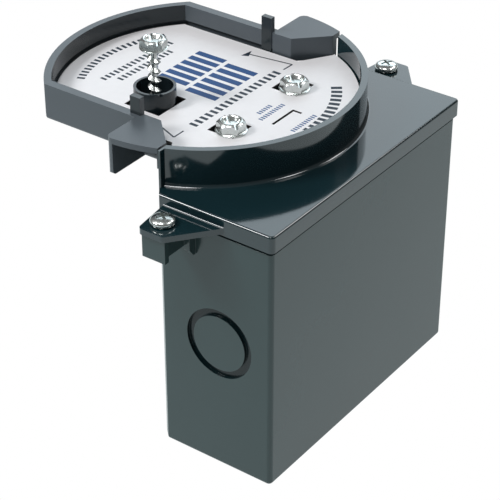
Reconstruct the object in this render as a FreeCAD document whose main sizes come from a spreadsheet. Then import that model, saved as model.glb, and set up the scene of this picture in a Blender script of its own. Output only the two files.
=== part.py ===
"""Side-of-joist fixture box: a deep wiring tub beside the joist and a shallow tray under it.

Frame: x = 0 is the face that lies against the side of the joist, z = 0 the seat under the joist,
y = 0 the middle of the box. The round rim stands up in +Z, as the box rests on a bench.
"""
import FreeCAD, Part
import Sketcher
import math
import os
import re

SIZES = [
    # the round rim and the board that it reaches through
    ("rim_height", 13.0),
    ("ring_radius", 52.2),
    ("ring_wall", 2.2),
    ("ring_x", -19.7),
    ("ring_start", 0.8),
    ("ring_foot", 1.3),
    ("fin_proud", 1.8),
    # lid over the wiring tub
    ("lid_beyond", 12.1),
    ("lid_margin", 1.0),
    ("corner_reach", 2.4),
    ("corner_cut", 3.2),
    ("lid_plate", 2.2),
    ("skirt_height", 5.8),
    ("skirt_wall", 1.9),
    ("skirt_proud", 0.9),
    ("skirt_gap", 0.1),
    ("lid_edge", 0.8),
    ("mouth_margin", 2.0),
    # ears of the lid and the bosses below them
    ("ear_length", 14.8),
    ("ear_drop", 3.0),
    ("ear_thick", 2.0),
    ("ear_root_near", 4.0),
    ("ear_tip_near", 6.0),
    ("ear_tip_far", 15.3),
    ("ear_root_far", 27.6),
    ("ear_corner", 1.8),
    ("ear_crease", 0.5),
    ("boss_near", 6.6),
    ("boss_far", 15.3),
    ("boss_height", 8.2),
    ("boss_inset", 1.0),
    ("boss_frame", 1.9),
    ("boss_recess", 2.0),
    ("boss_floor", 0.5),
    ("boss_cheek", 2.9),
    ("gusset_thick", 2.4),
    ("gusset_drop", 3.7),
    # wiring tub
    ("tub_depth", 94.7),
    ("tub_wall", 2.4),
    ("tub_corner", 1.6),
    ("tub_base_edge", 1.2),
    ("rim_rebate", 5.0),
    ("post_radius", 4.2),
    ("post_depth", 34.0),
    # knockouts in the two narrow ends
    ("knock_inset", 19.9),
    ("knock_z", -47.0),
    ("knock_radius", 12.4),
    ("knock_disc", 9.9),
    ("knock_groove", 1.1),
    # tray below the joist
    ("tray_proud", 0.5),
    ("tray_inset", 14.2),
    ("tray_wall", 3.1),
    ("tray_arc_wall", 2.5),
    ("tray_floor", 2.2),
    ("tray_edge", 1.5),
    ("groove_deep", 1.2),
    ("groove_over", 1.2),
    ("pad_near", -0.9),
    ("pad_end", 4.3),
    ("pad_flat", 7.6),
    ("pad_top", 2.0),
    ("pad_wall", 1.8),
    ("pad_corner", 2.3),
    ("leg_thick", 2.6),
    ("bar_gap", 0.3),
    ("bar_width", 4.0),
    ("bar_thick", 2.0),
    ("bar_proud", 0.4),
    ("bar_rise", 5.3),
    ("bar_shift", 1.0),
    ("bar_extra", 0.7),
    ("tongue_far", 7.6),
    ("tongue_half", 27.0),
    ("tongue_lap", 1.0),
    ("seat_radius", 4.4),
    # screw cup in the tray
    ("cup_x", -28.4),
    ("cup_y", -16.2),
    ("cup_radius", 6.95),
    ("cup_wall", 0.9),
    ("cup_height", 11.8),
    ("cup_notch", 0.8),
    ("cup_floor", 6.4),
    # paper-thin cover over the tray and the wiring tub
    ("cover_z", 5.0),
    ("cover_thick", 1.0),
    ("cover_gap", 0.4),
    ("cover_slack", 3.6),
    ("cup_gap", 0.15),
    ("hole_side", 10.0),
    ("hole_dx", -1.4),
    ("hole_dy", 1.0),
    ("slot_x", 10.6),
    ("slot_y", -6.4),
    ("slot_length", 11.8),
    ("slot_foot", 3.7),
    ("slot_width", 0.9),
    # long hex-washer screws
    ("screw_x", 2.9),
    ("screw_y", 17.3),
    ("screw_radius", 2.2),
    ("screw_length", 25.4),
    ("screw_point", 5.0),
    ("washer_thick", 0.9),
    ("seat_washer", 5.3),
    ("seat_flats", 8.4),
    ("seat_head", 3.9),
    ("park_washer", 4.85),
    ("park_flats", 7.6),
    ("park_head", 2.8),
    ("hex_lip", 0.8),
    ("hex_dish", 0.5),
    ("drive_radius", 2.3),
    ("drive_depth", 1.2),
    ("drive_slot", 1.0),
    ("park_height", 26.0),
    ("shaft_gap", 0.3),
    # pan-head screws that hold the lid
    ("pan_x", 10.5),
    ("pan_inset", 6.3),
    ("pan_radius", 3.95),
    ("pan_height", 2.4),
    ("pan_rim", 0.9),
    ("pan_raised", 0.3),
    ("pan_shank", 2.0),
    ("pan_length", 9.8),
    ("pan_tip", 0.8),
    ("pan_crown", 2.1),
    # how far a cutting outline reaches past the edge that it cuts
    ("overcut", 1.0),
]

FITS = [
    ("lid_half", "ring_radius + lid_margin"),
    ("lid_far", "ring_x + ring_radius + lid_beyond"),
    ("corner_half", "lid_half - corner_cut"),
    ("tub_half", "lid_half - skirt_proud"),
    ("tub_far", "lid_far - skirt_proud"),
    ("knock_x", "tub_far - knock_inset"),
    ("ear_end", "lid_half + ear_length"),
    ("ear_low", "ear_drop + ear_thick"),
    ("boss_end", "ear_end - boss_inset"),
    ("pan_y", "ear_end - pan_inset"),
    ("rim_inner", "ring_radius - ring_wall"),
    ("mouth_radius", "rim_inner - mouth_margin"),
    ("mouth_x", "tongue_far + cover_gap"),
    ("tray_radius", "ring_radius + tray_proud"),
    ("tray_half", "ring_radius - tray_inset"),
    ("tray_inner", "tray_half - tray_wall"),
    ("tray_arc_inner", "tray_radius - tray_arc_wall"),
    ("pad_bevel_y", "sqrt(tray_radius ^ 2 - (pad_near - ring_x) ^ 2) - pad_end"),
    ("pad_bevel_x", "pad_near - (pad_bevel_y - tray_inner)"),
    ("pad_far", "pad_bevel_x - pad_flat"),
    ("bar_near", "pad_far - bar_gap"),
    ("bar_inner", "tray_inner - bar_proud"),
    ("cover_radius", "rim_inner - cover_gap"),
    ("cover_flat", "bar_inner - cover_gap"),
]

doc = FreeCAD.newDocument("fixture_box")
dims = doc.addObject("Spreadsheet::Sheet", "Dims")
ALIASES = {alias for alias, _ in SIZES + FITS}
for row, (alias, size) in enumerate(SIZES, start=1):
    dims.set(f"A{row}", alias)
    dims.set(f"B{row}", str(size))
    dims.setAlias(f"B{row}", alias)
for row, (alias, formula) in enumerate(FITS, start=len(SIZES) + 1):
    dims.set(f"A{row}", alias)
    dims.set(f"B{row}", "=" + formula)
    dims.setAlias(f"B{row}", alias)
doc.recompute()


def of_sheet(text):
    """Writes Dims. before each alias of an expression."""
    return re.sub(r"[a-z_]+", lambda m: "Dims." + m[0] if m[0] in ALIASES else m[0], text)


def value(text):
    """The number that an expression of aliases gives now."""
    result = dims.evalExpression(of_sheet(text))
    return float(getattr(result, "Value", result))


def new_body(label):
    body = doc.addObject("PartDesign::Body", label)
    body.Label = label
    return body


def new_sketch(body, name, plane="XY_Plane", height="0", across="0"):
    """A sketch on one of the body's own origin planes, lifted along its normal by height."""
    sketch = body.newObject("Sketcher::SketchObject", name)
    origin_plane = [f for f in body.Origin.OriginFeatures if f.Role == plane][0]
    sketch.AttachmentSupport = [(origin_plane, "")]
    sketch.MapMode = "FlatFace"
    sketch.setExpression("AttachmentOffset.Base.z", of_sheet(height))
    sketch.setExpression("AttachmentOffset.Base.x", of_sheet(across))
    return sketch


def pin(sketch, kind, where, text):
    """One named-size constraint; where is the geometry and point that it holds."""
    size = value(text)
    index = sketch.addConstraint(Sketcher.Constraint(kind, *where, size))
    sketch.setExpression(f"Constraints[{index}]", of_sheet(text))


def outline(sketch, corners, arcs=None):
    """A closed outline through corners (x, y as expressions).

    arcs maps the number of a side to (radius, bulge): the side is then an arc of that radius,
    whose middle lies to the left of the side when bulge is -1, and to its right when it is 1.
    """
    arcs = arcs or {}
    points = [FreeCAD.Vector(value(x), value(y), 0) for x, y in corners]
    count = len(points)
    sides = []
    for place, start in enumerate(points):
        end = points[(place + 1) % count]
        if place in arcs:
            radius_text, bulge = arcs[place]
            radius = value(radius_text)
            chord = end - start
            rise = radius - math.sqrt(max(radius**2 - (chord.Length / 2) ** 2, 0))
            right = FreeCAD.Vector(chord.y, -chord.x, 0).normalize()
            middle = (start + end) / 2 + right * rise * bulge
            shape = Part.Arc(start, middle, end)
        else:
            shape = Part.LineSegment(start, end)
        sides.append(sketch.addGeometry(shape))
    ends = []
    for place, side in enumerate(sides):
        if place in arcs:
            tip = sketch.getPoint(side, 1)
            first = 1 if tip.distanceToPoint(points[place]) < 1e-6 else 2
            ends.append((first, 3 - first))
        else:
            ends.append((1, 2))
    for place, side in enumerate(sides):
        after = (place + 1) % count
        sketch.addConstraint(
            Sketcher.Constraint("Coincident", side, ends[place][1], sides[after], ends[after][0])
        )
    for place, (x, y) in enumerate(corners):
        pin(sketch, "DistanceX", (-1, 1, sides[place], ends[place][0]), x)
        pin(sketch, "DistanceY", (-1, 1, sides[place], ends[place][0]), y)
    for place, (radius_text, _) in arcs.items():
        pin(sketch, "Radius", (sides[place],), radius_text)


def circle(sketch, x, y, radius):
    centre = FreeCAD.Vector(value(x), value(y), 0)
    ring = sketch.addGeometry(Part.Circle(centre, FreeCAD.Vector(0, 0, 1), value(radius)))
    pin(sketch, "DistanceX", (-1, 1, ring, 3), x)
    pin(sketch, "DistanceY", (-1, 1, ring, 3), y)
    pin(sketch, "Radius", (ring,), radius)


def rectangle(sketch, x0, x1, y0, y1):
    outline(sketch, [(x0, y0), (x1, y0), (x1, y1), (x0, y1)])


def feature(body, kind, name, sketch, length, down=False):
    """A pad or pocket; down turns it against the feature's usual direction."""
    made = body.newObject(f"PartDesign::{kind}", name)
    made.Profile = sketch
    made.setExpression("Length", of_sheet(length))
    made.Reversed = down
    sketch.Visibility = False
    return made


def pad(body, name, sketch, length, down=False):
    return feature(body, "Pad", name, sketch, length, down)


def pocket(body, name, sketch, length, down=False):
    """Cuts against the sketch's normal, or along it when down is set."""
    before = body_volume(body)
    made = feature(body, "Pocket", name, sketch, length, down)
    doc.recompute()
    if body_volume(body) > before - 1e-3:
        raise RuntimeError(f"{name} cuts nothing")
    return made


def body_volume(body):
    doc.recompute()
    return body.Shape.Volume


def revolve(body, name, sketch):
    """Turns a sketch of the XZ plane about the body's upright axis."""
    made = body.newObject("PartDesign::Revolution", name)
    made.Profile = sketch
    made.ReferenceAxis = (sketch, ["V_Axis"])
    made.Angle = 360
    sketch.Visibility = False
    return made


def edges_where(shape, test):
    return [f"Edge{number}" for number, edge in enumerate(shape.Edges, start=1) if test(edge)]


def fillet(body, name, test, radius):
    doc.recompute()
    base = body.Tip
    chosen = edges_where(base.Shape, test)
    if not chosen:
        raise RuntimeError(f"{name} finds no edge")
    made = body.newObject("PartDesign::Fillet", name)
    made.Base = (base, chosen)
    made.setExpression("Radius", of_sheet(radius))
    return made


def mirrored(body, name, originals):
    """The same features again at the other end, across the middle of the box."""
    made = body.newObject("PartDesign::Mirrored", name)
    made.Originals = originals
    plane = [f for f in body.Origin.OriginFeatures if f.Role == "XZ_Plane"][0]
    made.MirrorPlane = (plane, [""])
    body.Tip = made
    return made


def on_circle(radius, x):
    """Height above the x axis at which a circle about the ring's middle passes x."""
    return f"sqrt(({radius}) ^ 2 - (({x}) - ring_x) ^ 2)"


def near(number, target, margin=1e-3):
    return abs(number - target) < margin


def is_upright(edge):
    box = edge.BoundBox
    return near(box.XLength, 0) and near(box.YLength, 0) and box.ZLength > 1


def build_tub():
    """Wiring tub: one deep moulding with screw bosses outside its ends and posts in its wall."""
    tub = new_body("tub")
    walls = new_sketch(tub, "tub_plan", height="-tub_depth")
    outline(walls, [
        ("0", "-corner_half"), ("corner_reach", "-tub_half"), ("tub_far", "-tub_half"),
        ("tub_far", "tub_half"), ("corner_reach", "tub_half"), ("0", "corner_half"),
    ])
    pad(tub, "tub_block", walls, "tub_depth - lid_plate")
    doc.recompute()
    fillet(tub, "tub_corners",
           lambda e: is_upright(e) and near(e.BoundBox.XMax, value("tub_far")), "tub_corner")
    fillet(tub, "tub_base_edges",
           lambda e: near(e.BoundBox.ZMax, -value("tub_depth")) and e.BoundBox.XMax > 1,
           "tub_base_edge")

    room = new_sketch(tub, "room_plan", height="-lid_plate")
    room_far = "tub_far - tub_wall"
    room_half = "(tub_half - tub_wall)"
    room_corner = "(corner_half - tub_wall / 2)"
    outline(room, [
        ("tub_wall", f"-{room_corner}"), ("corner_reach + tub_wall", f"-{room_half}"),
        (room_far, f"-{room_half}"), (room_far, room_half),
        ("corner_reach + tub_wall", room_half), ("tub_wall", room_corner),
    ])
    pocket(tub, "room", room, "tub_depth - lid_plate - tub_wall")

    posts = []
    post = new_sketch(tub, "post_plan", height="-lid_plate")
    root = "tub_wall / 2"
    outline(post, [
        (root, "-(screw_y + post_radius)"), ("screw_x", "-(screw_y + post_radius)"),
        ("screw_x", "-(screw_y - post_radius)"), (root, "-(screw_y - post_radius)"),
    ], {1: ("post_radius", 1)})
    posts.append(pad(tub, "screw_post", post, "post_depth", down=True))

    boss = new_sketch(tub, "boss_plan", height="-ear_low")
    rectangle(boss, "boss_near", "boss_far", "-boss_end", "-(tub_half - tub_wall / 2)")
    posts.append(pad(tub, "ear_boss", boss, "boss_height", down=True))

    gusset = new_sketch(tub, "gusset_side", plane="YZ_Plane", height="boss_far - gusset_thick")
    boss_low = "(ear_low + boss_height)"
    inside = "-(tub_half - tub_wall / 2)"
    outline(gusset, [
        (inside, f"-{boss_low}"), ("-(tub_half + boss_cheek)", f"-{boss_low}"),
        ("-(tub_half + boss_cheek)", f"-({boss_low} + gusset_drop / 3)"),
        ("-(tub_half + boss_cheek / 3)", f"-({boss_low} + gusset_drop)"),
        (inside, f"-({boss_low} + gusset_drop)"),
    ])
    posts.append(pad(tub, "boss_gusset", gusset, "gusset_thick"))
    mirrored(tub, "both_ends", posts)

    rebate = new_sketch(tub, "rebate_plan", height="-lid_plate")
    inset = "(skirt_wall - skirt_proud + skirt_gap)"
    past_far = "tub_far + overcut"
    past_half = "(tub_half + overcut)"
    neck_far = f"tub_far - {inset}"
    neck_half = f"(tub_half - {inset})"
    outline(rebate, [
        ("0", f"-{past_half}"), (past_far, f"-{past_half}"), (past_far, past_half),
        ("0", past_half), ("0", "corner_half"), ("corner_reach", neck_half),
        (neck_far, neck_half), (neck_far, f"-{neck_half}"), ("corner_reach", f"-{neck_half}"),
        ("0", "-corner_half"),
    ])
    pocket(tub, "skirt_rebate", rebate, "rim_rebate - skirt_gap")

    for end, sign in (("front", "-"), ("back", "")):
        recess = new_sketch(tub, f"{end}_recess", plane="YZ_Plane", height="boss_far")
        rectangle(recess, f"{sign}(tub_half + boss_cheek)", f"{sign}(boss_end - boss_frame)",
                  f"-({boss_low} + overcut)", "-ear_low")
        pocket(tub, f"{end}_boss_recess", recess, "boss_recess")
        bore = new_sketch(tub, f"{end}_bore", height="-ear_low")
        circle(bore, "pan_x", f"{sign}pan_y", "pan_shank + shaft_gap / 2")
        pocket(tub, f"{end}_lid_screw_bore", bore, "boss_height - boss_floor")
        pilot = new_sketch(tub, f"{end}_pilot", height="-lid_plate")
        circle(pilot, "screw_x", f"{sign}screw_y", "screw_radius + shaft_gap")
        pocket(tub, f"{end}_post_bore", pilot, "post_depth - tub_wall")
        build_knockout(tub, end)
    return tub


def build_knockout(tub, end):
    """A ring groove round a disc that is knocked out for a cable."""
    height = "tub_half" if end == "front" else "-tub_half"
    groove = new_sketch(tub, f"{end}_groove", plane="XZ_Plane", height=height)
    circle(groove, "knock_x", "knock_z", "knock_radius")
    circle(groove, "knock_x", "knock_z", "knock_disc")
    pocket(tub, f"{end}_knockout", groove, "knock_groove", down=end == "back")


def build_lid():
    """Lid with its skirt, two ears and the half of the round rim that stands on it."""
    lid = new_body("collar_lid")
    plate = new_sketch(lid, "plate_plan", height="-lid_plate")
    outline(plate, [
        ("0", "-corner_half"), ("corner_reach", "-lid_half"), ("lid_far", "-lid_half"),
        ("lid_far", "lid_half"), ("corner_reach", "lid_half"), ("0", "corner_half"),
    ])
    pad(lid, "plate", plate, "lid_plate")

    skirt = new_sketch(lid, "skirt_plan", height="-skirt_height")
    outline(skirt, [
        ("corner_reach", "-lid_half"), ("lid_far", "-lid_half"), ("lid_far", "lid_half"),
        ("corner_reach", "lid_half"), ("corner_reach", "lid_half - skirt_wall"),
        ("lid_far - skirt_wall", "lid_half - skirt_wall"),
        ("lid_far - skirt_wall", "-(lid_half - skirt_wall)"),
        ("corner_reach", "-(lid_half - skirt_wall)"),
    ])
    pad(lid, "skirt", skirt, "skirt_height - lid_plate")
    fillet(lid, "lid_upright_edges",
           lambda e: is_upright(e) and near(e.BoundBox.XMax, value("lid_far")), "tub_corner")
    fillet(lid, "lid_top_edge",
           lambda e: near(e.BoundBox.ZMin, 0) and e.BoundBox.XMax > value("corner_reach + overcut"),
           "lid_edge")

    ear = new_sketch(lid, "ear_plan", height="-ear_low")
    root = "-(lid_half - skirt_wall / 2)"
    outline(ear, [
        ("ear_root_near", root), ("ear_tip_near", "-ear_end"), ("ear_tip_far", "-ear_end"),
        ("ear_root_far", root),
    ])
    ear_pad = pad(lid, "ear", ear, "ear_thick")
    mirrored(lid, "both_ends", [ear_pad])
    fillet(lid, "ear_corners",
           lambda e: is_upright(e) and near(abs(e.BoundBox.YMax), value("ear_end")), "ear_corner")
    fillet(lid, "ear_creases",
           lambda e: near(e.BoundBox.ZMin, -value("ear_drop"))
           and near(abs(e.BoundBox.YMax), value("lid_half")) and near(e.BoundBox.YLength, 0),
           "ear_crease")

    ring = new_sketch(lid, "ring_plan", height="-lid_plate / 2")
    start_out = on_circle("ring_radius", "0")
    start_in = on_circle("rim_inner", "0")
    outline(ring, [
        ("0", f"-{start_out}"), ("0", start_out), ("0", start_in), ("0", f"-{start_in}"),
    ], {0: ("ring_radius", 1), 2: ("rim_inner", -1)})
    pad(lid, "half_rim", ring, "rim_height + lid_plate / 2")
    fillet(lid, "rim_foot",
           lambda e: e.Curve.TypeId == "Part::GeomCircle"
           and near(e.Curve.Radius, value("ring_radius")) and near(e.BoundBox.ZMax, 0),
           "ring_foot")

    fin = new_sketch(lid, "fin_plan", height="-lid_plate")
    rectangle(fin, "0", "ring_start", f"-({start_out} + fin_proud)", f"-{start_in}")
    pad(lid, "rim_fin", fin, "lid_plate + rim_height")
    gap = new_sketch(lid, "rim_gap_plan", height="rim_height")
    rectangle(gap, "-overcut", "ring_start", "tongue_half", "lid_half")
    pocket(lid, "rim_gap", gap, "rim_height")

    ledge = new_sketch(lid, "ledge_plan", height="-lid_plate / 2")
    ledge_start = "(ring_start + ring_wall)"
    ledge_out = on_circle("rim_inner + ring_wall / 2", ledge_start)
    ledge_in = on_circle("mouth_radius", ledge_start)
    outline(ledge, [
        (ledge_start, f"-{ledge_out}"), (ledge_start, ledge_out),
        (ledge_start, ledge_in), (ledge_start, f"-{ledge_in}"),
    ], {0: ("rim_inner + ring_wall / 2", 1), 2: ("mouth_radius", -1)})
    pad(lid, "cover_ledge", ledge, "lid_plate / 2 + cover_z")

    mouth = new_sketch(lid, "mouth_plan", height="0")
    mouth_y = on_circle("mouth_radius", "mouth_x")
    outline(mouth, [("mouth_x", f"-{mouth_y}"), ("mouth_x", mouth_y)],
            {0: ("mouth_radius", 1)})
    pocket(lid, "mouth", mouth, "lid_plate")
    seat = new_sketch(lid, "tongue_seat_plan", height="0")
    seat_half = "(tongue_half + cover_gap)"
    rectangle(seat, "-overcut", "mouth_x + overcut", f"-{seat_half}", seat_half)
    pocket(lid, "tongue_seat", seat, "lid_plate")

    for end, sign in (("front", "-"), ("back", "")):
        hole = new_sketch(lid, f"{end}_ear_hole", height="0")
        circle(hole, "pan_x", f"{sign}pan_y", "pan_shank + shaft_gap")
        pocket(lid, f"{end}_ear_bore", hole, "skirt_height + overcut")
    return lid


def build_tray():
    """Shallow tray under the joist: arc and side walls, hollow pads, upright bars and a screw cup."""
    tray = new_body("joist_tray")
    outer_x = "ring_x - sqrt(tray_radius ^ 2 - tray_half ^ 2)"
    inner_x = "ring_x - sqrt(tray_arc_inner ^ 2 - tray_inner ^ 2)"

    floor = new_sketch(tray, "floor_plan")
    outline(floor, [
        (outer_x, "tray_half"), (outer_x, "-tray_half"), ("-cover_gap", "-tray_half"),
        ("-cover_gap", "tray_half"),
    ], {0: ("tray_radius", 1)})
    pad(tray, "floor", floor, "tray_floor")

    wall = new_sketch(tray, "wall_plan")
    outline(wall, [
        (outer_x, "tray_half"), (outer_x, "-tray_half"), ("pad_far", "-tray_half"),
        ("pad_far", "-tray_inner"), (inner_x, "-tray_inner"), (inner_x, "tray_inner"),
        ("pad_far", "tray_inner"), ("pad_far", "tray_half"),
    ], {0: ("tray_radius", 1), 4: ("tray_arc_inner", -1)})
    pad(tray, "walls", wall, "rim_height")
    groove = new_sketch(tray, "cover_groove_plan", height="cover_z + cover_thick + groove_over")
    groove_radius = "(tray_arc_inner + groove_deep)"
    groove_half = "(tray_inner + groove_deep)"
    groove_x = f"ring_x - sqrt({groove_radius} ^ 2 - {groove_half} ^ 2)"
    outline(groove, [
        (groove_x, groove_half), (groove_x, f"-{groove_half}"), ("pad_far", f"-{groove_half}"),
        ("pad_far", groove_half),
    ], {0: (groove_radius, 1)})
    pocket(tray, "cover_groove", groove, "cover_thick + groove_over + cover_gap")
    half = value("tray_half")
    fillet(tray, "tray_bottom_edges",
           lambda e: near(e.BoundBox.ZMax, 0) and e.BoundBox.XMin < value("pad_near")
           and (near(abs(e.BoundBox.YMin), half) and near(abs(e.BoundBox.YMax), half)),
           "tray_edge")

    tongue = new_sketch(tray, "tongue_plan", height="-lid_plate")
    rectangle(tongue, "shaft_gap", "tongue_far", "-tongue_half", "tongue_half")
    pad(tray, "tongue", tongue, "lid_plate + tray_floor")
    bridge = new_sketch(tray, "bridge_plan")
    rectangle(bridge, "-tongue_lap", "tongue_far / 2", "-tongue_half", "tongue_half")
    pad(tray, "bridge", bridge, "tray_floor")

    pad_arc = on_circle("tray_radius", "pad_near")
    pad_arc_far = on_circle("tray_radius", "pad_far")
    deck = new_sketch(tray, "deck_plan", height="rim_height - pad_top")
    outline(deck, [
        ("pad_far", f"-{pad_arc_far}"), ("pad_near", f"-{pad_arc}"), ("pad_near", "-pad_bevel_y"),
        ("pad_bevel_x", "-tray_inner"), ("pad_far", "-tray_inner"),
    ], {0: ("tray_radius", 1)})
    deck_pad = pad(tray, "pad_deck", deck, "pad_top")

    lining = new_sketch(tray, "lining_plan", height="cover_z - cover_gap")
    slant = "pad_wall * 0.414"
    outline(lining, [
        ("pad_far", "-tray_inner"), ("pad_far", "-(tray_inner + pad_wall)"),
        (f"pad_bevel_x - {slant}", "-(tray_inner + pad_wall)"),
        ("pad_near - pad_wall", f"-(pad_bevel_y + {slant})"),
        ("pad_near - pad_wall", f"-(pad_bevel_y + pad_wall + {slant})"),
        ("pad_near", f"-(pad_bevel_y + pad_wall + {slant})"), ("pad_near", "-pad_bevel_y"),
        ("pad_bevel_x", "-tray_inner"),
    ])
    lining_pad = pad(tray, "pad_lining", lining, "rim_height - cover_z + cover_gap")

    leg = new_sketch(tray, "leg_side", plane="YZ_Plane", height="pad_far")
    leg_out = "(" + on_circle("tray_radius", "pad_far + leg_thick") + ")"
    outline(leg, [
        ("-tray_inner", "0"), ("-tray_inner", "rim_height"), (f"-{leg_out}", "rim_height"),
        (f"-{leg_out}", "tray_edge"), (f"tray_edge - {leg_out}", "0"),
    ], {3: ("tray_edge", 1)})
    leg_pad = pad(tray, "pad_leg", leg, "leg_thick")

    corner = new_sketch(tray, "pad_corner_plan")
    corner_x = "pad_far + pad_corner"
    corner_out = f"-({pad_arc_far} + overcut)"
    outline(corner, [
        ("pad_far - overcut", corner_out), (corner_x, corner_out),
        (corner_x, "-" + on_circle("tray_radius", corner_x)),
        ("pad_far", f"-({pad_arc_far} - pad_corner)"),
        ("pad_far - overcut", f"-({pad_arc_far} - pad_corner)"),
    ], {2: ("pad_corner", -1)})
    corner_cut = pocket(tray, "pad_corner_round", corner, "rim_height", down=True)

    seat = new_sketch(tray, "seat_plan")
    circle(seat, "screw_x", "-screw_y", "seat_radius")
    seat_pad = pad(tray, "screw_seat", seat, "cover_z")
    mirrored(tray, "both_sides", [deck_pad, lining_pad, leg_pad, corner_cut, seat_pad])

    for end, sign, shift, rise in (("front", "-", "bar_shift", "bar_rise + bar_extra"),
                                   ("back", "", "0", "bar_rise")):
        bar = new_sketch(tray, f"{end}_bar_plan")
        rectangle(bar, f"bar_near - bar_width + {shift}", f"bar_near + {shift}",
                  f"{sign}(bar_inner + bar_thick)", f"{sign}bar_inner")
        pad(tray, f"{end}_upright_bar", bar, f"rim_height + {rise}")

    cup = new_sketch(tray, "cup_plan")
    circle(cup, "cup_x", "cup_y", "cup_radius")
    pad(tray, "cup", cup, "cup_height")
    well = new_sketch(tray, "well_plan", height="cup_height")
    circle(well, "cup_x", "cup_y", "cup_radius - cup_wall")
    pocket(tray, "cup_well", well, "cup_height - cup_floor")
    notch = new_sketch(tray, "notch_plan", height="cup_height")
    rectangle(notch, "cup_x + cup_radius - cup_wall * 2", "cup_x + cup_radius + overcut",
              "cup_y - cup_radius / 2 - cup_notch", "cup_y - cup_radius / 2")
    pocket(tray, "cup_notch_cut", notch, "cup_notch")

    shaft = new_sketch(tray, "shaft_plan", height="cover_z")
    circle(shaft, "screw_x", "-screw_y", "screw_radius + shaft_gap")
    circle(shaft, "screw_x", "screw_y", "screw_radius + shaft_gap")
    pocket(tray, "seat_bores", shaft, "cover_z + lid_plate")
    hole = new_sketch(tray, "cup_bore_plan", height="cup_floor")
    circle(hole, "cup_x", "cup_y", "screw_radius + shaft_gap")
    pocket(tray, "cup_bore", hole, "cup_floor")
    return tray


def build_cover():
    """Thin cover: a disc with two flats, notched round the pads and pierced for the screws."""
    cover = new_body("mud_cover")
    left_x = "ring_x - sqrt(cover_radius ^ 2 - cover_flat ^ 2)"
    bevel_x = "pad_bevel_x + cover_slack"
    end_x = "pad_near + cover_gap"
    end_y = "pad_bevel_y"
    side = on_circle("cover_radius", end_x)
    sheet = new_sketch(cover, "cover_plan", height="cover_z")
    outline(sheet, [
        (left_x, "cover_flat"), (left_x, "-cover_flat"), (bevel_x, "-cover_flat"),
        (end_x, f"-{end_y}"), (end_x, f"-{side}"), (end_x, side), (end_x, end_y),
        (bevel_x, "cover_flat"),
    ], {0: ("cover_radius", 1), 4: ("cover_radius", 1)})
    pad(cover, "sheet", sheet, "cover_thick")

    holes = new_sketch(cover, "hole_plan", height="cover_z + cover_thick")
    reach = "(hole_side / 2)"
    for sign in ("-", "+"):
        middle_x = "screw_x + hole_dx"
        middle_y = f"hole_dy {sign} screw_y"
        rectangle(holes, f"{middle_x} - {reach}", f"{middle_x} + {reach}",
                  f"{middle_y} - {reach}", f"{middle_y} + {reach}")
    half_cup = "(cup_radius + cup_gap)"
    rectangle(holes, f"cup_x - {half_cup}", f"cup_x + {half_cup}",
              f"cup_y - {half_cup}", f"cup_y + {half_cup}")
    outline(holes, [
        ("slot_x", "slot_y"), ("slot_x + slot_width", "slot_y"),
        ("slot_x + slot_width", "slot_y + slot_length - slot_width"),
        ("slot_x + slot_foot", "slot_y + slot_length - slot_width"),
        ("slot_x + slot_foot", "slot_y + slot_length"), ("slot_x", "slot_y + slot_length"),
    ])
    pocket(cover, "screw_holes_and_slot", holes, "cover_thick")
    return cover


def build_long_screw(label, head, x, y, seat):
    """Hex-washer screw with a gimlet point, a dished head and a cross recess.

    head is seat or park, and names the head's own sizes; the washer lies on the height seat.
    """
    screw = new_body(label)
    profile = new_sketch(screw, f"{label}_profile", plane="XZ_Plane")
    outline(profile, [
        ("0", "-screw_length"), ("screw_radius", "screw_point - screw_length"),
        ("screw_radius", "0"), (f"{head}_washer", "0"), (f"{head}_washer", "washer_thick * 0.6"),
        (f"{head}_flats / 2", "washer_thick"), ("0", "washer_thick"),
    ])
    revolve(screw, f"{label}_shank", profile)
    hexagon = new_sketch(screw, f"{label}_head_plan", height="washer_thick / 2")
    corner = f"({head}_flats / sqrt(3))"
    outline(hexagon, [
        (corner, "0"), (f"{corner} / 2", f"{head}_flats / 2"),
        (f"-{corner} / 2", f"{head}_flats / 2"), (f"-{corner}", "0"),
        (f"-{corner} / 2", f"-{head}_flats / 2"), (f"{corner} / 2", f"-{head}_flats / 2"),
    ])
    pad(screw, f"{label}_hex", hexagon, f"{head}_head - washer_thick / 2")
    dish = new_sketch(screw, f"{label}_dish", height=f"{head}_head")
    circle(dish, "0", "0", f"{head}_flats / 2 - hex_lip")
    pocket(screw, f"{label}_dishing", dish, "hex_dish")
    cut_cross(screw, label, f"{head}_head - hex_dish")
    screw.setExpression("Placement.Base.x", of_sheet(x))
    screw.setExpression("Placement.Base.y", of_sheet(y))
    screw.setExpression("Placement.Base.z", of_sheet(seat))
    return screw


def cut_cross(screw, label, top):
    """The crossed driver recess in the top of a head."""
    cross = new_sketch(screw, f"{label}_cross", height=top)
    arm = "(drive_slot / 2)"
    outline(cross, [
        ("drive_radius", f"-{arm}"), ("drive_radius", arm), (arm, arm),
        (arm, "drive_radius"), (f"-{arm}", "drive_radius"), (f"-{arm}", arm),
        ("-drive_radius", arm), ("-drive_radius", f"-{arm}"), (f"-{arm}", f"-{arm}"),
        (f"-{arm}", "-drive_radius"), (arm, "-drive_radius"), (arm, f"-{arm}"),
    ])
    pocket(screw, f"{label}_recess", cross, "drive_depth")


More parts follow.
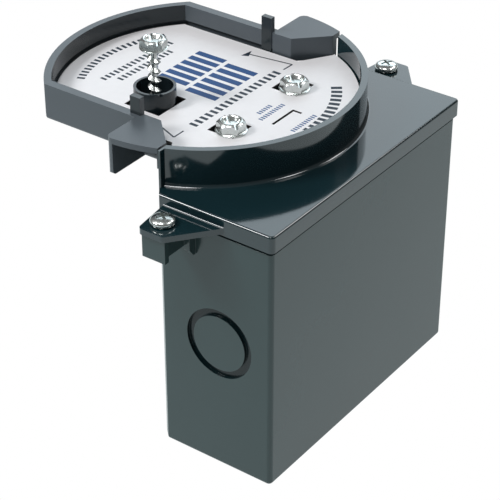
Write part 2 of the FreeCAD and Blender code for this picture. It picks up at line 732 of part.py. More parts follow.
def build_pan_screw(label, sign):
    """Pan-head screw that holds an ear of the lid down on its boss."""
    screw = new_body(label)
    profile = new_sketch(screw, f"{label}_profile", plane="XZ_Plane")
    outline(profile, [
        ("0", "-pan_length"), ("pan_shank - pan_tip", "-pan_length"),
        ("pan_shank", "pan_tip - pan_length"), ("pan_shank", "0"), ("pan_radius", "0"),
        ("pan_radius", "pan_rim"), ("pan_crown", "pan_height"), ("0", "pan_height"),
    ])
    revolve(screw, f"{label}_turned", profile)
    cut_cross(screw, label, "pan_height")
    screw.setExpression("Placement.Base.x", of_sheet("pan_x"))
    screw.setExpression("Placement.Base.y", of_sheet(f"{sign}pan_y"))
    screw.setExpression("Placement.Base.z", of_sheet("pan_raised - ear_drop"))
    return screw


PARTS = [
    build_tub(),
    build_lid(),
    build_tray(),
    build_cover(),
    build_long_screw("joist_screw", "park", "cup_x", "cup_y", "park_height"),
    build_long_screw("front_tray_screw", "seat", "screw_x", "-screw_y", "cover_z + cover_thick"),
    build_long_screw("rear_tray_screw", "seat", "screw_x", "screw_y", "cover_z + cover_thick"),
    build_pan_screw("front_lid_screw", "-"),
    build_pan_screw("rear_lid_screw", ""),
]
doc.recompute()

for item in doc.Objects:
    if "Invalid" in item.State or "Error" in item.State:
        raise RuntimeError(f"{item.Label} did not build: {item.State}")

os.makedirs("parts", exist_ok=True)
for part in PARTS:
    solid = part.Shape
    if solid.isNull() or not solid.isValid():
        raise RuntimeError(f"{part.Label} has no valid shape")
    solid.exportStep(os.path.join("parts", part.Label + ".step"))
    print(f"{part.Label}: {len(solid.Solids)} solid, {solid.Volume:.0f} mm3")
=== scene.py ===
# %% [markdown]
# # A side-of-joist fixture box
#
# The box has a deep wiring tub, a glossy lid with a round rim, a shallow tray and a thin white
# cover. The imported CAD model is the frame: its solids already have the right shape, so this
# script eases the edges of the three mouldings, gives every piece its finish, makes the five
# screws anew with more detail in their heads, cuts the long screw's thread, prints the cover, and
# then sets up the floor, the lamps and the camera.

# %% Load the frame
import math

import bmesh
import bpy
from mathutils import Matrix, Vector


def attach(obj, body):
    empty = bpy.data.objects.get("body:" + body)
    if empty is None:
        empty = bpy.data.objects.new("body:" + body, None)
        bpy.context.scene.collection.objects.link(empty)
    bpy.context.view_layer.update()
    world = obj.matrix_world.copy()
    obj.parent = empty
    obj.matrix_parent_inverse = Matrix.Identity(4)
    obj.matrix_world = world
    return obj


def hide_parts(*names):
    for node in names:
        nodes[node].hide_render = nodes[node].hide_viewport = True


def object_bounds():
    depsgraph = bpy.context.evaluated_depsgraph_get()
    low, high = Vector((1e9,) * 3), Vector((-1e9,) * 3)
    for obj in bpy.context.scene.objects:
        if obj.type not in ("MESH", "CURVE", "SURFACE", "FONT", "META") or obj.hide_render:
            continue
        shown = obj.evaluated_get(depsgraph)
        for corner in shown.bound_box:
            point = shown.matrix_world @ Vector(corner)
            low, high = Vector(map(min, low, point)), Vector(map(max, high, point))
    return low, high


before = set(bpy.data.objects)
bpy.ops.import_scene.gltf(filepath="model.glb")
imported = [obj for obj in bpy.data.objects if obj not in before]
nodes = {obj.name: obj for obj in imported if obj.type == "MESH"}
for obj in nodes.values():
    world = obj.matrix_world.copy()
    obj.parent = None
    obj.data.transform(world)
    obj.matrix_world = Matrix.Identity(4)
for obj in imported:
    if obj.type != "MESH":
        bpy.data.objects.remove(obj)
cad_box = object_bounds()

MM = 0.001
scene = bpy.context.scene
print("nodes:", sorted(nodes))

# %% [markdown]
# Colours are easiest to read off a screen as sRGB hex values, but a shader works on linear
# light. One function turns the first into the second.

# %% Colours
def linear(hex_colour):
    """Linear RGBA of an sRGB hex colour such as #4c5656."""
    parts = [int(hex_colour[i:i + 2], 16) / 255 for i in (1, 3, 5)]
    channels = [p / 12.92 if p <= 0.04045 else ((p + 0.055) / 1.055) ** 2.4 for p in parts]
    return (*channels, 1.0)


print("mid grey:", [round(c, 3) for c in linear("#808080")])

# %% [markdown]
# Every finish below is a small network of nodes. This helper adds one node, sets its inputs and
# wires it to the nodes before it, so each material reads as a short list.

# %% A helper that adds a node
def add_node(material, kind, settings=None, links=None, **values):
    """Adds a node: settings are its own properties, values its inputs, links its wires."""
    tree = material.node_tree
    node = tree.nodes.new(kind)
    for name, setting in (settings or {}).items():
        setattr(node, name, setting)
    for name, number in values.items():
        node.inputs[name.replace("_", " ")].default_value = number
    for name, (source, output) in (links or {}).items():
        tree.links.new(source.outputs[output], node.inputs[name])
    return node


def new_material(name):
    """A material with its node tree cleared, and its Material Output node."""
    material = bpy.data.materials.new(name)
    material.use_nodes = True
    material.node_tree.nodes.clear()
    output = material.node_tree.nodes.new("ShaderNodeOutputMaterial")
    return material, output


def finish_surface(material, output, shader):
    """Wires the last shader to the material's surface."""
    material.node_tree.links.new(shader.outputs[0], output.inputs["Surface"])


print("helpers ready")

# %% [markdown]
# Black moulded PVC is never quite black: the polished lid mirrors the room, the tub is a touch
# duller, and the tray is satin. Two more copies are darker, and that darkness is painted shade:
# one on the inner parts of the tray, one in the knockout grooves. They share one recipe, so a
# function builds it from two close tones, the index of refraction that sets how strongly it
# mirrors, a roughness, and the size in millimetres and the strength of the mould's fine grain.

# %% Moulded black plastics
def moulded_plastic(name, colour, pale, ior, rough, rough_span, grain_mm, bump):
    """A black plastic with slow changes of tone and gloss and a fine moulded grain."""
    material, output = new_material(name)
    coords = add_node(material, "ShaderNodeTexCoord")
    flow = add_node(material, "ShaderNodeTexNoise", Scale=1 / (18 * MM), Detail=3.0,
                    links={"Vector": (coords, "Object")})
    grain = add_node(material, "ShaderNodeTexNoise", Scale=1 / (grain_mm * MM), Detail=2.0,
                     links={"Vector": (coords, "Object")})
    tint = add_node(material, "ShaderNodeMix", {"data_type": "RGBA"})
    tint.inputs["A"].default_value = linear(colour)
    tint.inputs["B"].default_value = linear(pale)
    material.node_tree.links.new(flow.outputs["Fac"], tint.inputs["Factor"])
    gloss = add_node(material, "ShaderNodeMapRange", From_Min=0.3, From_Max=0.7,
                     To_Min=rough, To_Max=rough + rough_span,
                     links={"Value": (flow, "Fac")})
    relief = add_node(material, "ShaderNodeBump", Strength=bump, Distance=0.05 * MM,
                      links={"Height": (grain, "Fac")})
    shader = add_node(material, "ShaderNodeBsdfPrincipled", IOR=ior, links={
        "Base Color": (tint, "Result"), "Roughness": (gloss, "Result"),
        "Normal": (relief, "Normal")})
    finish_surface(material, output, shader)
    return material


lid_pvc = moulded_plastic("polished_black_pvc", "#12282d", "#142d33",
                          ior=1.66, rough=0.07, rough_span=0.03, grain_mm=1.2, bump=0.04)
tub_pvc = moulded_plastic("moulded_black_pvc", "#283e3f", "#2c4243",
                          ior=1.53, rough=0.20, rough_span=0.05, grain_mm=0.9, bump=0.08)
tray_pvc = moulded_plastic("satin_black_pvc", "#4a5359", "#515960",
                           ior=1.50, rough=0.36, rough_span=0.05, grain_mm=0.7, bump=0.12)
# A darker copy of the tray's plastic: its darker colour is painted shade on the tray's inner
# parts.
tray_shade_pvc = moulded_plastic("tray_pvc_painted_shade", "#1b2428", "#212c31",
                           ior=1.45, rough=0.17, rough_span=0.05, grain_mm=0.7, bump=0.08)
# A darker copy of the tub's plastic: its darker colour is painted shade in the knockout grooves.
groove_shade_pvc = moulded_plastic("black_pvc_painted_groove_shade", "#0b1a1d", "#0f2226",
                             ior=1.40, rough=0.16, rough_span=0.05, grain_mm=0.9, bump=0.10)
for finish in (lid_pvc, tub_pvc, tray_pvc, tray_shade_pvc, groove_shade_pvc):
    print("plastic:", finish.name)

# %% [markdown]
# The cover is a sheet of white printed stock, smooth and faintly glossy. Its cut edges are
# painted dark as shade, so the shader picks them out as the faces that don't look up or down.

# %% White sheet
def printed_sheet(name):
    """White sheet with a faint fibre, and painted shade on its cut edges."""
    material, output = new_material(name)
    coords = add_node(material, "ShaderNodeTexCoord")
    fibre = add_node(material, "ShaderNodeTexNoise", Scale=1 / (2.5 * MM), Detail=4.0,
                     links={"Vector": (coords, "Object")})
    tint = add_node(material, "ShaderNodeMix", {"data_type": "RGBA"})
    tint.inputs["A"].default_value = linear("#e9e8ea")
    tint.inputs["B"].default_value = linear("#efeef0")
    material.node_tree.links.new(fibre.outputs["Fac"], tint.inputs["Factor"])
    faces = add_node(material, "ShaderNodeNewGeometry")
    upward = add_node(material, "ShaderNodeSeparateXYZ", links={"Vector": (faces, "True Normal")})
    flat = add_node(material, "ShaderNodeMath", {"operation": "ABSOLUTE"},
                    links={"Value": (upward, "Z")})
    # The faces that don't look up or down get a dark colour, which is painted shade.
    edge_shade = add_node(material, "ShaderNodeMix", {"data_type": "RGBA"})
    edge_shade.inputs["A"].default_value = linear("#3c3836")
    material.node_tree.links.new(flat.outputs[0], edge_shade.inputs["Factor"])
    material.node_tree.links.new(tint.outputs["Result"], edge_shade.inputs["B"])
    shader = add_node(material, "ShaderNodeBsdfPrincipled", IOR=1.5, Roughness=0.42,
                      links={"Base Color": (edge_shade, "Result")})
    finish_surface(material, output, shader)
    return material


white_sheet = printed_sheet("white_printed_sheet")
print("sheet:", white_sheet.name)

# %% [markdown]
# The marks on the cover are flat screen-printed ink: a blue for the large ones, a blue-black for
# the small ones, and a paler blue for the fine ones, where the ink runs thin. It breaks up a
# little on the sheet, which a noise shows.

# %% Printing inks
def printing_ink(name, colour, worn):
    """A matt ink that changes between two tones in fine speckles."""
    material, output = new_material(name)
    coords = add_node(material, "ShaderNodeTexCoord")
    speckle = add_node(material, "ShaderNodeTexNoise", Scale=1 / (0.8 * MM), Detail=3.0,
                       links={"Vector": (coords, "Object")})
    tint = add_node(material, "ShaderNodeMix", {"data_type": "RGBA"})
    tint.inputs["A"].default_value = linear(colour)
    tint.inputs["B"].default_value = linear(worn)
    material.node_tree.links.new(speckle.outputs["Fac"], tint.inputs["Factor"])
    shader = add_node(material, "ShaderNodeBsdfPrincipled", IOR=1.33, Roughness=0.5,
                      links={"Base Color": (tint, "Result")})
    finish_surface(material, output, shader)
    return material


blue_ink = printing_ink("blue_screen_ink", "#083c74", "#14508c")
dark_ink = printing_ink("blue_black_screen_ink", "#101f2c", "#2a3b4b")
fine_ink = printing_ink("fine_blue_screen_ink", "#1d4379", "#5573a0")
print("inks:", blue_ink.name, dark_ink.name, fine_ink.name)

# %% [markdown]
# The screws are steel with bright zinc plate: a metal with a fine, uneven sparkle. One noise
# drives both its tone and its roughness, so the paler spots are also the duller ones.

# %% Zinc plate
def zinc_plate(name):
    """Bright plated metal, a little cloudy."""
    material, output = new_material(name)
    coords = add_node(material, "ShaderNodeTexCoord")
    bloom = add_node(material, "ShaderNodeTexNoise", Scale=1 / (1.5 * MM), Detail=4.0,
                     links={"Vector": (coords, "Object")})
    tint = add_node(material, "ShaderNodeMix", {"data_type": "RGBA"})
    tint.inputs["A"].default_value = linear("#c3c9c7")
    tint.inputs["B"].default_value = linear("#e9edeb")
    material.node_tree.links.new(bloom.outputs["Fac"], tint.inputs["Factor"])
    gloss = add_node(material, "ShaderNodeMapRange", To_Min=0.18, To_Max=0.32,
                     links={"Value": (bloom, "Fac")})
    shader = add_node(material, "ShaderNodeBsdfPrincipled", Metallic=1.0, links={
        "Base Color": (tint, "Result"), "Roughness": (gloss, "Result")})
    finish_surface(material, output, shader)
    return material


zinc = zinc_plate("bright_zinc_plate")
print("plate:", zinc.name)

# %% [markdown]
# Each node of the frame gets its finish by its name, and what isn't named here is a screw. A
# piece that is made from a node later takes the finish over from it.

# %% Dress the CAD nodes
FINISHES = {
    "tub": tub_pvc,
    "collar_lid": lid_pvc,
    "joist_tray": tray_pvc,
    "mud_cover": white_sheet,
}
for name, node in nodes.items():
    node.data.materials.clear()
    node.data.materials.append(FINISHES.get(name, zinc))
print("dressed:", len(nodes), "nodes")

# %% [markdown]
# A mould can't fill a knife-sharp corner, so every edge of a moulding is a little round and
# catches a thread of light. Each solid is copied, its loose triangles are merged back into whole
# faces, and a narrow bevel follows its sharp edges. A weighted normal modifier keeps the flats
# flat beside the bevel.

# %% Eased edges
SHARP = math.radians(28)


def merged_copy(node):
    """The node's mesh as whole faces instead of loose triangles."""
    work = bmesh.new()
    work.from_mesh(node.data)
    bmesh.ops.remove_doubles(work, verts=work.verts, dist=0.002 * MM)
    bmesh.ops.dissolve_limit(work, angle_limit=math.radians(0.5), verts=work.verts,
                             edges=work.edges, delimit={"NORMAL"})
    return work


def ease_edges(work, width_mm, segments):
    """Bevels the sharp edges of a bmesh by a width in millimetres."""
    sharp = [e for e in work.edges if e.is_manifold and e.calc_face_angle(0) > SHARP]
    bmesh.ops.bevel(work, geom=sharp, offset=width_mm * MM, offset_type="OFFSET",
                    affect="EDGES", segments=segments, profile=0.5, material=-1,
                    clamp_overlap=True)
    return len(sharp)


def new_piece(name, work, material):
    """Makes a smooth-shaded object of a bmesh, fixed to the body."""
    for face in work.faces:
        face.smooth = True
    mesh = bpy.data.meshes.new(name)
    work.to_mesh(mesh)
    work.free()
    mesh.materials.append(material)
    mesh.set_sharp_from_angle(angle=math.radians(40))
    piece = bpy.data.objects.new(name, mesh)
    scene.collection.objects.link(piece)
    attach(piece, "root")
    return piece


def eased_node(node_name, width_mm, segments=2):
    """A copy of a CAD node with eased edges, in its place."""
    node = nodes[node_name]
    work = merged_copy(node)
    count = ease_edges(work, width_mm, segments)
    piece = new_piece(f"{node_name}_eased", work, node.data.materials[0])
    weighted = piece.modifiers.new("flat_faces", "WEIGHTED_NORMAL")
    weighted.keep_sharp = True
    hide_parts(node_name)
    print(node_name, "edges eased:", count, "faces:", len(piece.data.polygons))
    return piece


EASED = {"tub": 0.35, "collar_lid": 0.35, "joist_tray": 0.35}
eased = {name: eased_node(name, width) for name, width in EASED.items()}

# %% [markdown]
# The round knockouts are grooves in the end walls, and their darker colour is painted shade for
# the depth of the groove. Their faces are the ones inside the groove's outer radius that lie
# below the end walls.

# %% Painted shade in the knockout grooves
KNOCKOUT = Vector((23.8, -47.0))
GROOVE_REACH = 12.7
END_WALL = 52.3


def in_groove(centre):
    """True for a point below the end wall and inside the groove's outer radius."""
    reach = (Vector((centre.x, centre.z)) / MM - KNOCKOUT).length
    depth = END_WALL - abs(centre.y) / MM
    return reach < GROOVE_REACH and 0.02 < depth < 1.5


def refinish(piece, finish, chosen):
    """Gives the faces whose centre is chosen a second material, whose darker colour is painted
    shade, and counts them.
    """
    piece.data.materials.append(finish)
    faces = [face for face in piece.data.polygons if chosen(face.center)]
    for face in faces:
        face.material_index = 1
    return len(faces)


print("groove faces:", refinish(eased["tub"], groove_shade_pvc, in_groove))

# %% [markdown]
# The inside of the arc wall, the screw cup and the two upright bars get a darker and glossier
# copy of the tray's plastic. Its darker colour is painted shade, and the faces are picked here by
# where they lie.

# %% Painted shade on the tray's inner parts
CUP = Vector((-28.4, -16.2, 0.0))
CUP_REACH = 7.6
RIM_MIDDLE = Vector((-19.7, 0))
ARC_INSIDE = 50.2
WALL_TOP = 13.0
WALL_INSIDE = 34.8
BAR_FACE = 32
BAR_ENDS = (-25, -18)
FLOOR_TOP = 2.4


def on_painted_shade_part(centre):
    """True for a point on the cup, the inside of the arc wall or one of the bars."""
    spot, height = centre.xy / MM, centre.z / MM
    on_cup = (spot - CUP.xy).length < CUP_REACH
    on_arc = abs((spot - RIM_MIDDLE).length - ARC_INSIDE) < 0.2 and height < WALL_TOP - 0.4
    above_or_inside = height > WALL_TOP + 0.05 or BAR_FACE < abs(spot.y) < WALL_INSIDE
    on_bar = BAR_ENDS[0] < spot.x < BAR_ENDS[1] and above_or_inside
    return height > FLOOR_TOP and (on_cup or on_arc or on_bar)


print("core faces:", refinish(eased["joist_tray"], tray_shade_pvc, on_painted_shade_part))

# %% [markdown]
# The screws are turned and headed steel, so their round parts are spun from a profile. Two
# helpers do the common work: one spins a profile into a closed solid, the other takes one shape
# out of another with a Boolean that is applied at once.

# %% Turning and cutting
def spun(work, profile_mm, steps=40):
    """Spins a profile of (radius, height) points about the z axis into a closed solid."""
    verts = [work.verts.new((r * MM, 0, z * MM)) for r, z in profile_mm]
    edges = [work.edges.new(pair) for pair in zip(verts, verts[1:])]
    bmesh.ops.spin(work, geom=verts + edges, cent=(0, 0, 0), axis=(0, 0, 1),
                   angle=2 * math.pi, steps=steps, use_merge=True, use_duplicate=False)
    bmesh.ops.remove_doubles(work, verts=work.verts, dist=0.001 * MM)
    bmesh.ops.recalc_face_normals(work, faces=work.faces)


def add_to(work, part):
    """Adds one bmesh to another and frees it."""
    scrap = bpy.data.meshes.new("scrap")
    part.to_mesh(scrap)
    part.free()
    work.from_mesh(scrap)
    bpy.data.meshes.remove(scrap)


def scratch_object(name, work):
    """A plain object of a bmesh, for one Boolean only."""
    mesh = bpy.data.meshes.new(name)
    work.to_mesh(mesh)
    work.free()
    made = bpy.data.objects.new(name, mesh)
    scene.collection.objects.link(made)
    return made


def combined(work, cutter, operation):
    """The DIFFERENCE or INTERSECT of two solids, as a new bmesh."""
    body = scratch_object("cut_body", work)
    tool = scratch_object("cut_tool", cutter)
    cut = body.modifiers.new("cut", "BOOLEAN")
    cut.operation = operation
    cut.solver = "EXACT"
    cut.object = tool
    bpy.context.view_layer.update()
    solved = body.evaluated_get(bpy.context.evaluated_depsgraph_get())
    result = bmesh.new()
    result.from_mesh(solved.to_mesh())
    for scrap in (body, tool):
        bpy.data.objects.remove(scrap)
    return result


def cut_slot(work, length, width, depth, top, turn):
    """Cuts one straight slot of that depth into a head whose top is at the height top."""
    bar = bmesh.new()
    bmesh.ops.create_cube(bar, size=1)
    bmesh.ops.scale(bar, verts=bar.verts, vec=(length * MM, width * MM, depth * 2 * MM))
    bmesh.ops.rotate(bar, verts=bar.verts, cent=(0, 0, 0),
                     matrix=Matrix.Rotation(math.radians(turn), 3, "Z"))
    bmesh.ops.translate(bar, verts=bar.verts, vec=(0, 0, top * MM))
    return combined(work, bar, "DIFFERENCE")


print("turning and cutting ready")

# %% [markdown]
# The hexagon of these heads is pressed from the wire in one blow. That leaves rounded shoulders,
# a deep dish in the top and a slot across it, and a thin flange below like a washer. A turned
# crown is intersected with a six-sided prism, which gives the curved edges on the flats that
# every hex head has.

# %% Hex heads
FLANGE = 0.45


def hex_head(washer, flats, height, hex_turn, slot_turn):
    """A pressed head with its seat at z = 0: sizes in millimetres, turns in degrees."""
    corner = flats / math.sqrt(3)
    crown = bmesh.new()
    lip = flats * 0.40
    spun(crown, [(0, 0.2), (corner + 0.6, 0.2), (corner + 0.35, height * 0.60),
                 (corner - 0.15, height * 0.76), (lip + 0.5, height * 0.92),
                 (lip + 0.2, height * 0.98), (lip, height), (lip - 0.3, height * 0.97),
                 (lip - 0.6, height * 0.84), (lip - 1.1, height * 0.66), (0, height * 0.58)])
    prism = bmesh.new()
    bmesh.ops.create_cone(prism, cap_ends=True, segments=6, radius1=corner * MM,
                          radius2=corner * 0.97 * MM, depth=height * 1.5 * MM)
    bmesh.ops.rotate(prism, verts=prism.verts, cent=(0, 0, 0),
                     matrix=Matrix.Rotation(math.radians(hex_turn), 3, "Z"))
    bmesh.ops.translate(prism, verts=prism.verts, vec=(0, 0, height * 0.7 * MM))
    work = combined(crown, prism, "INTERSECT")
    work = cut_slot(work, corner * 2.4, 1.1, height * 0.34, height, slot_turn)
    disc = bmesh.new()
    spun(disc, [(0, 0), (washer - 0.2, 0), (washer, 0.15), (washer, 0.35),
                (washer - 0.25, FLANGE), (corner - 0.2, FLANGE + 0.15), (0, FLANGE + 0.15)])
    add_to(work, disc)
    return work


SHANK = 25.4
SHANK_POINT = 5.0
CREST = 2.2
TRAY_SCREW_X = 2.9
TRAY_SCREW_Y = 17.3
SHEET_TOP = 6.0
for node_name, side in (("front_tray_screw", -1), ("rear_tray_screw", 1)):
    screw = hex_head(washer=5.15, flats=8.4, height=3.9, hex_turn=0, slot_turn=149)
    shank = bmesh.new()
    spun(shank, [(0, -SHANK), (CREST, SHANK_POINT - SHANK), (CREST, 0.3), (0, 0.3)], steps=24)
    add_to(screw, shank)
    place = Vector((TRAY_SCREW_X, side * TRAY_SCREW_Y, SHEET_TOP))
    bmesh.ops.translate(screw, verts=screw.verts, vec=place * MM)
    piece = new_piece(f"{node_name}_headed", screw, zinc)
    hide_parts(node_name)
print("tray screws headed")

# %% [markdown]
# The lid screws have low domed heads with a crossed recess. The dome is a curve of a few points
# that is spun, and the recess is two slots, cut one after the other.

# %% Pan heads
PAN_RADIUS = 3.95
PAN_RIM = 0.8
PAN_HEIGHT = 2.4
CROSS_TURN = 150
LID_SCREW_X = 10.5
LID_SCREW_Y = 61.7
EAR_TOP = -2.7


def pan_screw(node_name, side):
    """One lid screw, on the side of the box that its sign says."""
    dome = [(PAN_RADIUS * math.cos(math.radians(a)) ** 0.8,
             PAN_RIM + (PAN_HEIGHT - PAN_RIM) * math.sin(math.radians(a)))
            for a in range(0, 90, 10)]
    screw = bmesh.new()
    spun(screw, [(0, -9.8), (1.2, -9.8), (2.0, -9.0), (2.0, 0), (PAN_RADIUS - 0.2, 0),
                 (PAN_RADIUS, 0.3)] + dome + [(0, PAN_HEIGHT)])
    for length, width, depth in ((4.2, 0.9, 1.3), (0.9, 4.2, 1.2)):
        screw = cut_slot(screw, length, width, depth, PAN_HEIGHT, CROSS_TURN)
    place = Vector((LID_SCREW_X, side * LID_SCREW_Y, EAR_TOP))
    bmesh.ops.translate(screw, verts=screw.verts, vec=place * MM)
    piece = new_piece(f"{node_name}_domed", screw, zinc)
    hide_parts(node_name)
    return piece


for node_name, side in (("front_lid_screw", -1), ("rear_lid_screw", 1)):
    print(node_name, "faces:", len(pan_screw(node_name, side).data.polygons))

# %% [markdown]
# The long screw waits in its cup, so its thread is in plain sight. A screw thread is a small
# triangle carried round a core while it sinks, which is what Spin does when it is given a step
# down.

# %% The long screw
HEAD_SEAT = 25.2
TIP = 0.6
POINT = 6.0
BLUNT = 0.12
CORE = 1.25
PITCH = 3.4
STEPS_PER_TURN = 28


def screw_thread(work, top, bottom):
    """One thread from top to bottom: a triangle spun round the core as it sinks."""
    turns = (top - bottom) / PITCH
    steps = int(turns * STEPS_PER_TURN)
    flank = PITCH * 0.36
    root = CORE - 0.15
    corners = [work.verts.new((r * MM, 0, z * MM)) for r, z in
               ((root, top + flank), (CREST, top), (root, top - flank))]
    ring = [work.edges.new(pair) for pair in zip(corners, corners[1:] + corners[:1])]
    work.faces.new(corners)
    swept = bmesh.ops.spin(work, geom=corners + ring, cent=(0, 0, 0), axis=(0, 0, 1),
                           dvec=(0, 0, (bottom - top) / steps * MM),
                           angle=turns * 2 * math.pi, steps=steps, use_duplicate=False)
    work.faces.new([v for v in swept["geom_last"] if isinstance(v, bmesh.types.BMVert)])
    bmesh.ops.recalc_face_normals(work, faces=work.faces)


def long_screw():
    """The screw in the cup: its head, its tapered core, and the thread with its pointed end."""
    screw = hex_head(washer=4.6, flats=7.9, height=3.6, hex_turn=14, slot_turn=150)
    bmesh.ops.translate(screw, verts=screw.verts, vec=(0, 0, HEAD_SEAT * MM))
    shank = bmesh.new()
    spun(shank, [(0, TIP), (CORE, TIP + POINT), (CORE, HEAD_SEAT + 0.2), (0, HEAD_SEAT + 0.2)])
    thread = bmesh.new()
    screw_thread(thread, HEAD_SEAT - 1.3, TIP + 1.3)
    for vert in thread.verts:
        rise = max((vert.co.z / MM - TIP) / POINT, BLUNT)
        if rise < 1:
            vert.co.x *= rise
            vert.co.y *= rise
    add_to(screw, shank)
    add_to(screw, thread)
    bmesh.ops.translate(screw, verts=screw.verts, vec=CUP * MM)
    piece = new_piece("joist_screw_threaded", screw, zinc)
    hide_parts("joist_screw")
    return piece


print("thread faces:", len(long_screw().data.polygons))

# %% [markdown]
# The cover's print is drawn as what it is, a film of ink: each mark is a flat outline on the
# sheet, raised by a few hundredths of a millimetre. The marks are plain bars, ticks and pointers.

# %% Ink on the sheet
INK = 0.02


def ink_patch(work, corners):
    """A film of ink with the given corners (x, y in mm)."""
    face = work.faces.new([work.verts.new((x * MM, y * MM, SHEET_TOP * MM)) for x, y in corners])
    film = bmesh.ops.extrude_face_region(work, geom=[face])
    top = [v for v in film["geom"] if isinstance(v, bmesh.types.BMVert)]
    bmesh.ops.translate(work, verts=top, vec=(0, 0, INK * MM))


def ink_bar(work, start, end, width):
    """A straight bar of ink from start to end."""
    start, end = Vector(start), Vector(end)
    side = (end - start).normalized().orthogonal() * width / 2
    ink_patch(work, [start + side, start - side, end - side, end + side])


def ink_ticks(work, start, end, height, pitch, width):
    """A row of short bars across the line from start to end."""
    start, end = Vector(start), Vector(end)
    along = (end - start).normalized()
    across = along.orthogonal() * height / 2
    for number in range(int((end - start).length / pitch) + 1):
        middle = start + along * pitch * number
        ink_bar(work, middle - across, middle + across, width)


def ink_tick_arc(work, radius, first, last, height, step, width):
    """Short bars along an arc about the rim's middle; angles in degrees."""
    for number in range(int((last - first) / step) + 1):
        turn = math.radians(first + step * number)
        ray = Vector((math.cos(turn), math.sin(turn)))
        ink_bar(work, RIM_MIDDLE + ray * (radius - height / 2),
                RIM_MIDDLE + ray * (radius + height / 2), width)


def printed_marks(name, ink, draw):
    """Makes one piece of all the marks that a function draws in one ink."""
    work = bmesh.new()
    draw(work)
    bmesh.ops.recalc_face_normals(work, faces=work.faces)
    return new_piece(name, work, ink)


print("ink is", INK, "mm thick on the sheet at", SHEET_TOP, "mm")

# %% [markdown]
# The large marks are two blocks of bars across the middle. The small ones run in rows beside
# the straight sides and round the rim, with a bent pointer at each pad, and the fine ones stand
# round the slot.

# %% Marks on the cover
def draw_large_bars(work):
    """Two blocks of wide bars: each is its x ends, its y ends and its number of bars."""
    for x0, x1, y0, y1, bars in ((-25.4, -13.0, -4.6, 19.0, 6), (-38.8, -27.0, -2.0, 20.6, 6)):
        pitch = (y1 - y0) / (bars - 0.4)
        for number in range(bars):
            y = y0 + pitch * (number + 0.3)
            ink_bar(work, (x0, y), (x1, y), pitch * 0.64)


def draw_small_marks(work):
    """Rows and arcs of ticks, the two bent pointers and the head of one of them."""
    ink_ticks(work, (-8.4, 23.0), (-8.9, -21.5), 3.1, 2.6, 1.3)
    ink_ticks(work, (-46.6, 14.4), (-47.4, -11.0), 2.5, 2.1, 1.0)
    ink_ticks(work, (-50.6, 19.6), (-52.0, -15.2), 2.5, 2.1, 1.0)
    ink_tick_arc(work, 42.6, 148, 207, 2.7, 3.0, 1.1)
    ink_tick_arc(work, 42.2, -4, 38, 3.6, 3.8, 1.6)
    for end, corner, stub in (((-24.4, 28.6), (-7.6, 31.0), (-7.8, 26.2)),
                              ((-16.6, -28.2), (-9.0, -31.2), (-9.0, -26.3))):
        ink_bar(work, end, corner, 0.55)
        ink_bar(work, corner, stub, 0.55)
    ink_patch(work, [(-25.4, 26.3), (-23.0, 27.4), (-24.5, 31.2)])


def draw_fine_marks(work):
    """Three short rows of fine ticks."""
    ink_ticks(work, (6.2, 6.0), (6.2, -6.6), 1.7, 1.2, 0.65)
    ink_ticks(work, (3.3, 3.0), (3.3, -3.6), 1.7, 1.2, 0.65)
    ink_ticks(work, (18.6, 6.0), (18.6, -7.2), 1.7, 1.2, 0.65)


printed_marks("cover_large_print", blue_ink, draw_large_bars)
printed_marks("cover_small_print", dark_ink, draw_small_marks)
printed_marks("cover_fine_print", fine_ink, draw_fine_marks)
print("cover printed")

# %% [markdown]
# The floor is a wide sheet of white paper. To light it is plain diffuse paper, so its bounce on
# the box is soft. Light Path tells the shader what kind of ray asks: the camera sees pure white,
# and glossy plastic and metal see a white that is slightly cool, as in a bright studio.

# %% Floor
COOL_WHITE = (0.90, 1.0, 1.02, 1.0)


def studio_floor():
    """The white sheet that the box stands on."""
    mesh = bpy.data.meshes.new("floor")
    grid = bmesh.new()
    bmesh.ops.create_grid(grid, x_segments=1, y_segments=1, size=1.5)
    bmesh.ops.translate(grid, verts=grid.verts, vec=(0, 0, cad_box[0].z))
    grid.to_mesh(mesh)
    grid.free()
    floor = bpy.data.objects.new("floor", mesh)
    scene.collection.objects.link(floor)
    material, output = new_material("white_paper_floor")
    rays = add_node(material, "ShaderNodeLightPath")
    paper = add_node(material, "ShaderNodeBsdfDiffuse", Color=linear("#f2f2f2"))
    white = add_node(material, "ShaderNodeEmission", Strength=1.0)
    cool = add_node(material, "ShaderNodeEmission", Strength=1.0, Color=COOL_WHITE)
    glossy = add_node(material, "ShaderNodeMixShader")
    material.node_tree.links.new(rays.outputs["Is Glossy Ray"], glossy.inputs[0])
    material.node_tree.links.new(paper.outputs[0], glossy.inputs[1])
    material.node_tree.links.new(cool.outputs[0], glossy.inputs[2])
    seen = add_node(material, "ShaderNodeMixShader")
    material.node_tree.links.new(rays.outputs["Is Camera Ray"], seen.inputs[0])
    material.node_tree.links.new(glossy.outputs[0], seen.inputs[1])
    material.node_tree.links.new(white.outputs[0], seen.inputs[2])
    finish_surface(material, output, seen)
    mesh.materials.append(material)
    return floor


print("floor at", round(studio_floor().data.vertices[0].co.z / MM, 1), "mm")

# %% [markdown]
# The world is white to the camera, and gives the box only a weak, even fill. That leaves the
# polished lid dark enough to show what the lamps draw on it.

# %% World
WHITE = (1, 1, 1, 1)
FILL = 0.17


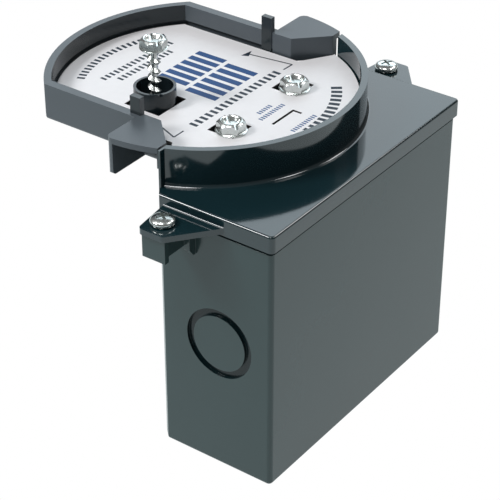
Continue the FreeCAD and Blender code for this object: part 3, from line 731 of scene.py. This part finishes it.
def studio_world():
    """White to the camera and a weak fill to everything else."""
    world = bpy.data.worlds.new("studio")
    world.use_nodes = True
    world.node_tree.nodes.clear()
    rays = add_node(world, "ShaderNodeLightPath")
    fill = add_node(world, "ShaderNodeBackground", Color=WHITE, Strength=FILL)
    seen = add_node(world, "ShaderNodeBackground", Color=WHITE, Strength=1.0)
    choose = add_node(world, "ShaderNodeMixShader")
    world.node_tree.links.new(rays.outputs["Is Camera Ray"], choose.inputs[0])
    world.node_tree.links.new(fill.outputs[0], choose.inputs[1])
    world.node_tree.links.new(seen.outputs[0], choose.inputs[2])
    add_node(world, "ShaderNodeOutputWorld", links={"Surface": (choose, 0)})
    return world


scene.world = studio_world()
print("world:", scene.world.name, "with a fill of", FILL)

# %% [markdown]
# A large softbox behind the box lays a pale sheen on the lid. The key lamp, high on the front
# left, lights the white cover and the end wall, and a lamp above the front draws the streak at
# the foot of the rim. Two more lamps only draw highlights along the right-hand edges, so they
# are hidden from diffuse light, and the colours keep their plain level.

# %% Lamps
def softbox(name, place, width, height, power, colour=(1, 1, 1)):
    """A rectangular lamp of that size in metres and power in watts, aimed at the box."""
    light = bpy.data.lights.new(name, "AREA")
    light.shape = "RECTANGLE"
    light.size = width
    light.size_y = height
    light.energy = power
    light.color = colour
    lamp = bpy.data.objects.new(name, light)
    lamp.location = place
    lamp.rotation_euler = (-Vector(place)).to_track_quat("-Z", "Y").to_euler()
    scene.collection.objects.link(lamp)
    print(name, power, "W")
    return lamp


softbox("back_softbox", (-0.34, 0.72, 0.50), 0.9, 0.6, 3.4, (0.82, 0.93, 1.0))
softbox("key", (-0.40, -0.43, 0.55), 0.22, 0.22, 3.3)
softbox("front_top", (0.01, -0.32, 0.74), 0.20, 0.18, 2.0)
for name, place in (("top_right", (0.50, 0.16, 0.60)), ("right_back", (0.34, 0.56, 0.54))):
    softbox(name, place, 0.20, 0.20, 1.2).visible_diffuse = False

# %% [markdown]
# The camera looks down on the box from its near corner through a long lens, a little under
# 0.6 m away. Its direction is easiest to say as an azimuth and an elevation. The tiny shift only
# centres the box, and Standard leaves each colour as it is written.

# %% Camera
camera_data = bpy.data.cameras.new("camera")
camera_data.lens = 129.24
camera_data.sensor_width = 36.0
camera_data.shift_x = -0.0006
camera_data.shift_y = -0.0096
camera = bpy.data.objects.new("camera", camera_data)
scene.collection.objects.link(camera)
azimuth = math.radians(36.14)
elevation = math.radians(32.83)
level = math.cos(elevation)
back = Vector((math.sin(azimuth) * level, -math.cos(azimuth) * level, math.sin(elevation)))
camera.location = (0.2979, -0.4111, 0.2807)
camera.rotation_euler = (-back).to_track_quat("-Z", "Y").to_euler()
scene.camera = camera
scene.view_settings.view_transform = "Standard"
print("camera is", round(camera.location.length, 3), "m from the joist's corner")
